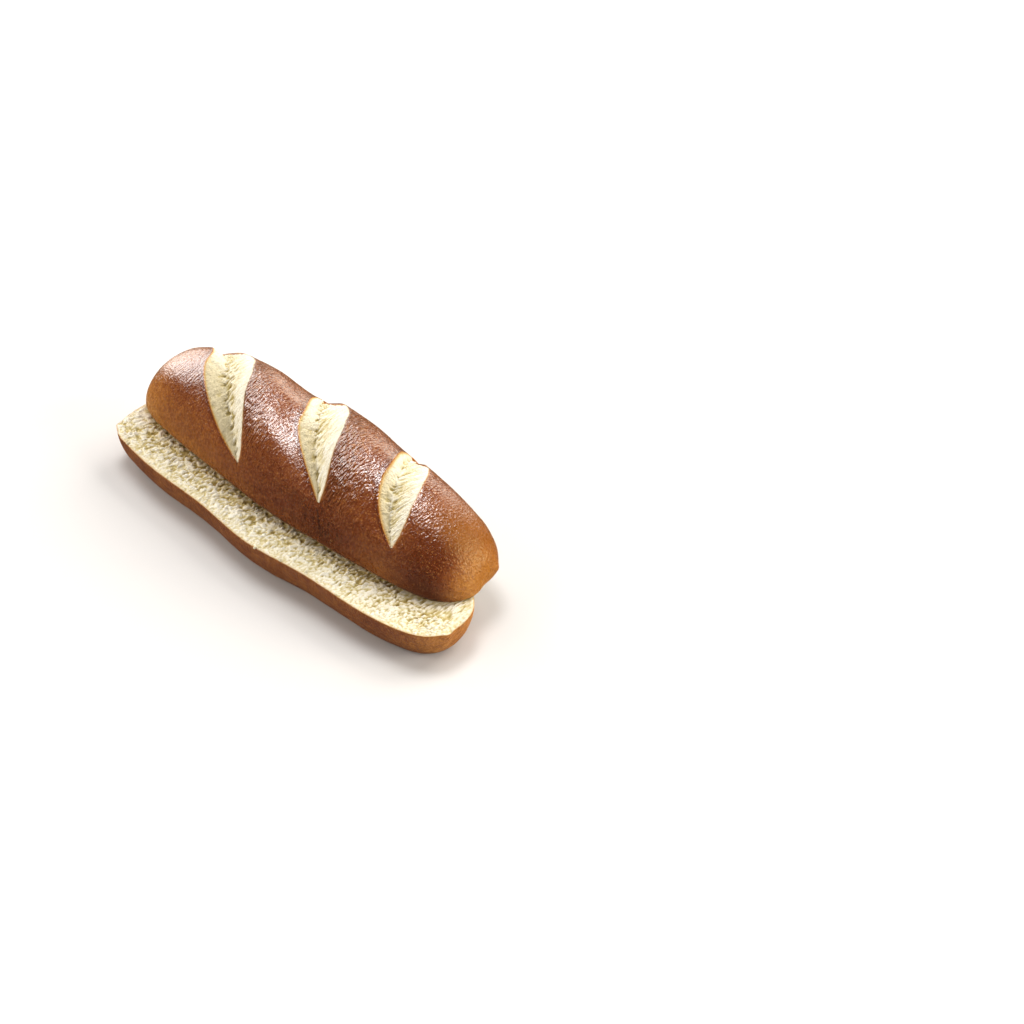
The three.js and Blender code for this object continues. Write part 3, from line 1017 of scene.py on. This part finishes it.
CRACK_SPAN = (0.03, 0.1)
CRACK_BREAKS = dict(scale=330, detail=2, roughness=0.5)
CRACK_BREAK_SPAN = (0.48, 0.56)
CRACK_BREAK_RANGE = (0, 0.9)
CRACK_COLOUR = (52, 20, 10)
GLOSS_SPOTS = dict(scale=700, detail=3, roughness=0.6)
GLOSS_SPOT_RANGE = (-0.05, 0.07)
SKIN_WRINKLE_SCALE = (1.25, 0.3, 1)
SKIN_WRINKLES = dict(scale=1, detail=1, roughness=0.5)
SKIN_WRINKLE_BUMP = 0.0013
CRUST_GRAIN = dict(scale=1300, detail=2, roughness=0.5)
CRUST_GRAIN_BUMP = 0.00022
GRAIN_WRINKLED_SPAN = (0.1, 0.25)
GRAIN_WRINKLED_RANGE = (1.6, 1)
CRUST_IOR = 1.7
CRUST_SHEEN = 0.2
CRUST_SHEEN_ROUGHNESS = 0.35
CRUST_SHEEN_TINT = (255, 218, 182)
TOP_CRUST_LOOK = dict(shine=1.0, roughness=(0.2, 0.45))
BOTTOM_CRUST_LOOK = dict(shine=0.4, roughness=(0.3, 0.55))


def crust_colour(made, place, skin):
    """Mottled brown, pale specks partly painted as glints, dark cracks in one place, gold rims, painted
    sheen
    """
    mottle = made.range(made.noise(place, **CRUST_MOTTLE), *NOISE_SPAN, *CRUST_MOTTLE_RANGE)
    fleck = made.range(made.noise(place, **FLECKS), *NOISE_SPAN, *FLECK_RANGE)
    shade = made.math("ADD", made.math("ADD", made.value("browning"), mottle), fleck)
    # Pale specks, partly painted glints
    speck_and_glint = made.range(made.noise(place, **SPECKS_AND_GLINTS), *SPECK_AND_GLINT_SPAN, *SPECK_AND_GLINT_RANGE)
    brown = made.mix(speck_and_glint, made.ramp(shade, CRUST_TONES), SPECK_AND_GLINT_COLOUR)
    crack = made.range(made.cracks(made.scaled(skin, CRACK_SCALE)), *CRACK_SPAN, 1, 0)
    broken = made.range(made.noise(place, **CRACK_BREAKS), *CRACK_BREAK_SPAN, *CRACK_BREAK_RANGE)
    crack = made.math("MULTIPLY", made.math("MULTIPLY", crack, broken), made.value("cracked"))
    brown = made.mix(crack, brown, CRACK_COLOUR)
    # Gold rims, and the gold of the upper right end that is partly painted sheen
    return made.mix(made.value("golden"), brown, GOLDEN_AND_SHEEN_CRUST)


def crust_roughness(made, place, roughness):
    """From shiny to matte crust, with small spots that are shinier or duller"""
    spots = made.range(made.noise(place, **GLOSS_SPOTS), *NOISE_SPAN, *GLOSS_SPOT_RANGE)
    return made.math("ADD", spots, made.range(made.value("matte"), 0, 1, *roughness))


def crust_normal(made, place, skin):
    """Wrinkles, and a fine grain that is strongest where there are few of them"""
    wrinkled = made.value("wrinkled")
    wrinkles = made.noise(made.scaled(skin, SKIN_WRINKLE_SCALE), **SKIN_WRINKLES)
    wrinkles = made.math("MULTIPLY", wrinkles, wrinkled)
    strength = made.range(wrinkled, *GRAIN_WRINKLED_SPAN, *GRAIN_WRINKLED_RANGE)
    grain = made.math("MULTIPLY", made.noise(place, **CRUST_GRAIN), strength)
    return made.bump(grain, CRUST_GRAIN_BUMP, made.bump(wrinkles, SKIN_WRINKLE_BUMP))


def crust_material(name, shine, roughness):
    made = Nodes(name)
    place = made.place()
    skin = made.vector("skin")
    made.link(crust_colour(made, place, skin), made.shader.inputs["Base Color"])
    made.link(crust_roughness(made, place, roughness), made.shader.inputs["Roughness"])
    made.link(crust_normal(made, place, skin), made.shader.inputs["Normal"])
    made.shader.inputs["IOR"].default_value = CRUST_IOR
    made.shader.inputs["Specular IOR Level"].default_value = shine
    made.shader.inputs["Sheen Weight"].default_value = CRUST_SHEEN * shine
    made.shader.inputs["Sheen Roughness"].default_value = CRUST_SHEEN_ROUGHNESS
    made.shader.inputs["Sheen Tint"].default_value = colour(*CRUST_SHEEN_TINT)
    return made.material


# Crumb material, with tones from its crests down to its hollows, whose darker, yellower tones are painted
# shade

CRUMB_TONES = (
    (0.0, (241, 235, 218)),
    (0.2, (230, 221, 192)),
    (0.4, (208, 193, 146)),
    (0.6, (186, 167, 106)),
    (1.0, (146, 125, 68)),
)
HOLLOW_SPAN = (-0.5, 1.7)
CRUMB_MOTTLE = dict(scale=1400, detail=3, roughness=0.6)
CRUMB_MOTTLE_RANGE = (-0.25, 0.25)
FIBRE_SCALE = (1.5, 0.26, 1)
FIBRES = dict(scale=1, detail=2, roughness=0.5)
FIBRE_HOLLOWS = (0.3, -0.3)
FIBRE_BUMP = 0.00012
CRUMB_GRAIN = dict(scale=1500, detail=3, roughness=0.65)
CRUMB_GRAIN_BUMP = 0.0004
BUTTER_AND_SHADE_COLOUR = (174, 158, 112)
BUTTER_AND_SHADE_SHARE = 0.75
WHITE_COLOUR = (233, 230, 219)
WHITE_SHARE = 0.5
GOLDEN_AND_SHADE_CRUMB = (182, 138, 72)
CRUMB_ROUGHNESS = 0.85
CRUMB_SHINE = 0.15


def crumb_fibres(made):
    """Noise of -1 to 1, drawn out along the strands of torn crumb"""
    skin = made.scaled(made.vector("skin"), FIBRE_SCALE)
    fibres = made.range(made.noise(skin, **FIBRES), *NOISE_SPAN, -1, 1)
    return made.math("MULTIPLY", fibres, made.value("strands"))


def crumb_colour(made, place, fibres):
    """Cream crests, painted shade in hollows and by the top half, with buttery, white and gold parts"""
    mottle = made.range(made.noise(place, **CRUMB_MOTTLE), *NOISE_SPAN, *CRUMB_MOTTLE_RANGE)
    # Painted shade: hollows, and the troughs between fibres, take the darker tones
    hollow = made.math("ADD", made.value("pit"), mottle)
    hollow = made.math("ADD", hollow, made.range(fibres, -1, 1, *FIBRE_HOLLOWS))
    pale = made.ramp(made.range(hollow, *HOLLOW_SPAN, 0, 1), CRUMB_TONES)
    # Buttery tone on the scores' left walls; on the cut face this khaki mix is painted shade
    pale = made.mix(made.range(made.value("butter"), 0, 1, 0, BUTTER_AND_SHADE_SHARE), pale, BUTTER_AND_SHADE_COLOUR)
    pale = made.mix(made.range(made.value("white"), 0, 1, 0, WHITE_SHARE), pale, WHITE_COLOUR)
    # Gold rims, and a little gold in the painted shade of the cut face
    return made.mix(made.value("golden"), pale, GOLDEN_AND_SHADE_CRUMB)


def crumb_material():
    made = Nodes("crumb")
    place = made.place()
    fibres = crumb_fibres(made)
    made.link(crumb_colour(made, place, fibres), made.shader.inputs["Base Color"])
    grain = made.bump(made.noise(place, **CRUMB_GRAIN), CRUMB_GRAIN_BUMP)
    made.link(made.bump(fibres, FIBRE_BUMP, grain), made.shader.inputs["Normal"])
    made.shader.inputs["Roughness"].default_value = CRUMB_ROUGHNESS
    made.shader.inputs["Specular IOR Level"].default_value = CRUMB_SHINE
    return made.material


# Studio, in metres, with linear colours

FLOOR_HALF = 3.0
FLOOR_COLOUR = (0.63, 0.615, 0.6, 1)
FLOOR_ROUGHNESS = 0.9
FLOOR_SHINE = 0.1
SKY_COLOUR = (1, 0.94, 0.87, 1)
SKY_STRENGTH = 0.16

# Softboxes: direction from the bun, distance and radii, how brightly each one shines,
# whether the glossy crust mirrors it and whether it lights the matte surfaces
LIGHTS = (
    dict(name="key_light", towards=(-0.26, 0.17, 0.95), distance=2.4, radii=(0.5, 0.6), radiance=12.1,
         mirrored=False),
    dict(name="key_sheen", towards=(-0.28, 0.29, 0.915), distance=2.4, radii=(0.42, 0.62), radiance=16,
         lighting=False),
    dict(name="back_light", towards=(0.05, 0.8, 0.6), distance=2.8, radii=(1.2, 1.2), radiance=5.6,
         tint=(1, 0.97, 0.93), mirrored=False),
    dict(name="back_sheen", towards=(-0.42, 0.88, 0.17), distance=3, radii=(0.85, 1), radiance=3.2,
         tint=(1, 0.9, 0.76), lighting=False),
    dict(name="left_panel", towards=(-0.9, 0.05, 0.45), distance=2.6, radii=(0.75, 0.85), radiance=4.2),
    dict(name="left_sheen", towards=(-0.89, 0.36, 0.12), distance=2.6, radii=(0.9, 0.9), radiance=3.6,
         tint=(1, 0.95, 0.88), lighting=False),
    dict(name="right_panel", towards=(0.86, 0.42, 0.36), distance=2.6, radii=(0.8, 0.8), radiance=8,
         mirrored=False),
    dict(name="right_sheen", towards=(0.76, 0.61, 0.25), distance=2.6, radii=(0.5, 0.5), radiance=4.8,
         tint=(1, 0.8, 0.38)),
    dict(name="front_fill", towards=(-0.5, -0.7, 0.5), distance=3, radii=(1.2, 1.2), radiance=3.4,
         tint=(1, 0.92, 0.85), mirrored=False),
)


def add_floor():
    corners = [(x * FLOOR_HALF, y * FLOOR_HALF, 0) for x, y in ((-1, -1), (1, -1), (1, 1), (-1, 1))]
    mesh = bpy.data.meshes.new("floor")
    mesh.from_pydata(corners, [], [(0, 1, 2, 3)])
    floor = bpy.data.objects.new("floor", mesh)
    bpy.context.scene.collection.objects.link(floor)
    made = Nodes("pale_floor")
    made.shader.inputs["Base Color"].default_value = FLOOR_COLOUR
    made.shader.inputs["Roughness"].default_value = FLOOR_ROUGHNESS
    made.shader.inputs["Specular IOR Level"].default_value = FLOOR_SHINE
    mesh.materials.append(made.material)
    floor.visible_glossy = False


def add_light(name, towards, distance, radii, radiance, tint=(1, 1, 1), mirrored=True, lighting=True):
    """A softbox, whose power is its radiance times its area times pi"""
    light = bpy.data.lights.new(name, "AREA")
    light.color = tint
    light.shape = "ELLIPSE"
    light.size = 2 * radii[0]
    light.size_y = 2 * radii[1]
    area = math.pi * radii[0] * radii[1]
    light.energy = radiance * area * math.pi
    lamp = bpy.data.objects.new(name, light)
    direction = Vector(towards).normalized()
    side = Vector((0, 1, 0)).cross(direction).normalized()
    lamp.location = direction * distance
    lamp.rotation_euler = Matrix((side, direction.cross(side), direction)).transposed().to_euler()
    lamp.visible_camera = False
    lamp.visible_glossy = mirrored
    lamp.visible_diffuse = lighting
    bpy.context.scene.collection.objects.link(lamp)


def add_studio():
    for light in LIGHTS:
        add_light(**light)
    world = bpy.data.worlds.new("studio")
    bpy.context.scene.world = world
    world.use_nodes = True
    sky = world.node_tree.nodes["Background"]
    sky.inputs["Color"].default_value = SKY_COLOUR
    sky.inputs["Strength"].default_value = SKY_STRENGTH
    world.cycles_visibility.glossy = False
    bpy.context.scene.view_settings.view_transform = "Standard"


def add_camera():
    data = bpy.data.cameras.new("camera")
    data.sensor_width = SENSOR_WIDTH
    data.lens = SENSOR_WIDTH * VIEW_DISTANCE / VIEW_WIDTH
    camera = bpy.data.objects.new("camera", data)
    turn = math.radians(VIEW_AZIMUTH)
    tilt = math.radians(VIEW_ELEVATION)
    back = Vector((math.sin(turn) * math.cos(tilt), -math.cos(turn) * math.cos(tilt), math.sin(tilt)))
    camera.location = (Vector(VIEW_TARGET) + back * VIEW_DISTANCE) * MM
    camera.rotation_mode = "QUATERNION"
    camera.rotation_quaternion = back.to_track_quat("Z", "Y")
    bpy.context.scene.collection.objects.link(camera)
    bpy.context.scene.camera = camera


crumb = crumb_material()
make_top(crust_material("top_crust", **TOP_CRUST_LOOK), crumb)
make_bottom(crust_material("bottom_crust", **BOTTOM_CRUST_LOOK), crumb)
make_crumbs(crumb)
add_floor()
add_studio()
add_camera()
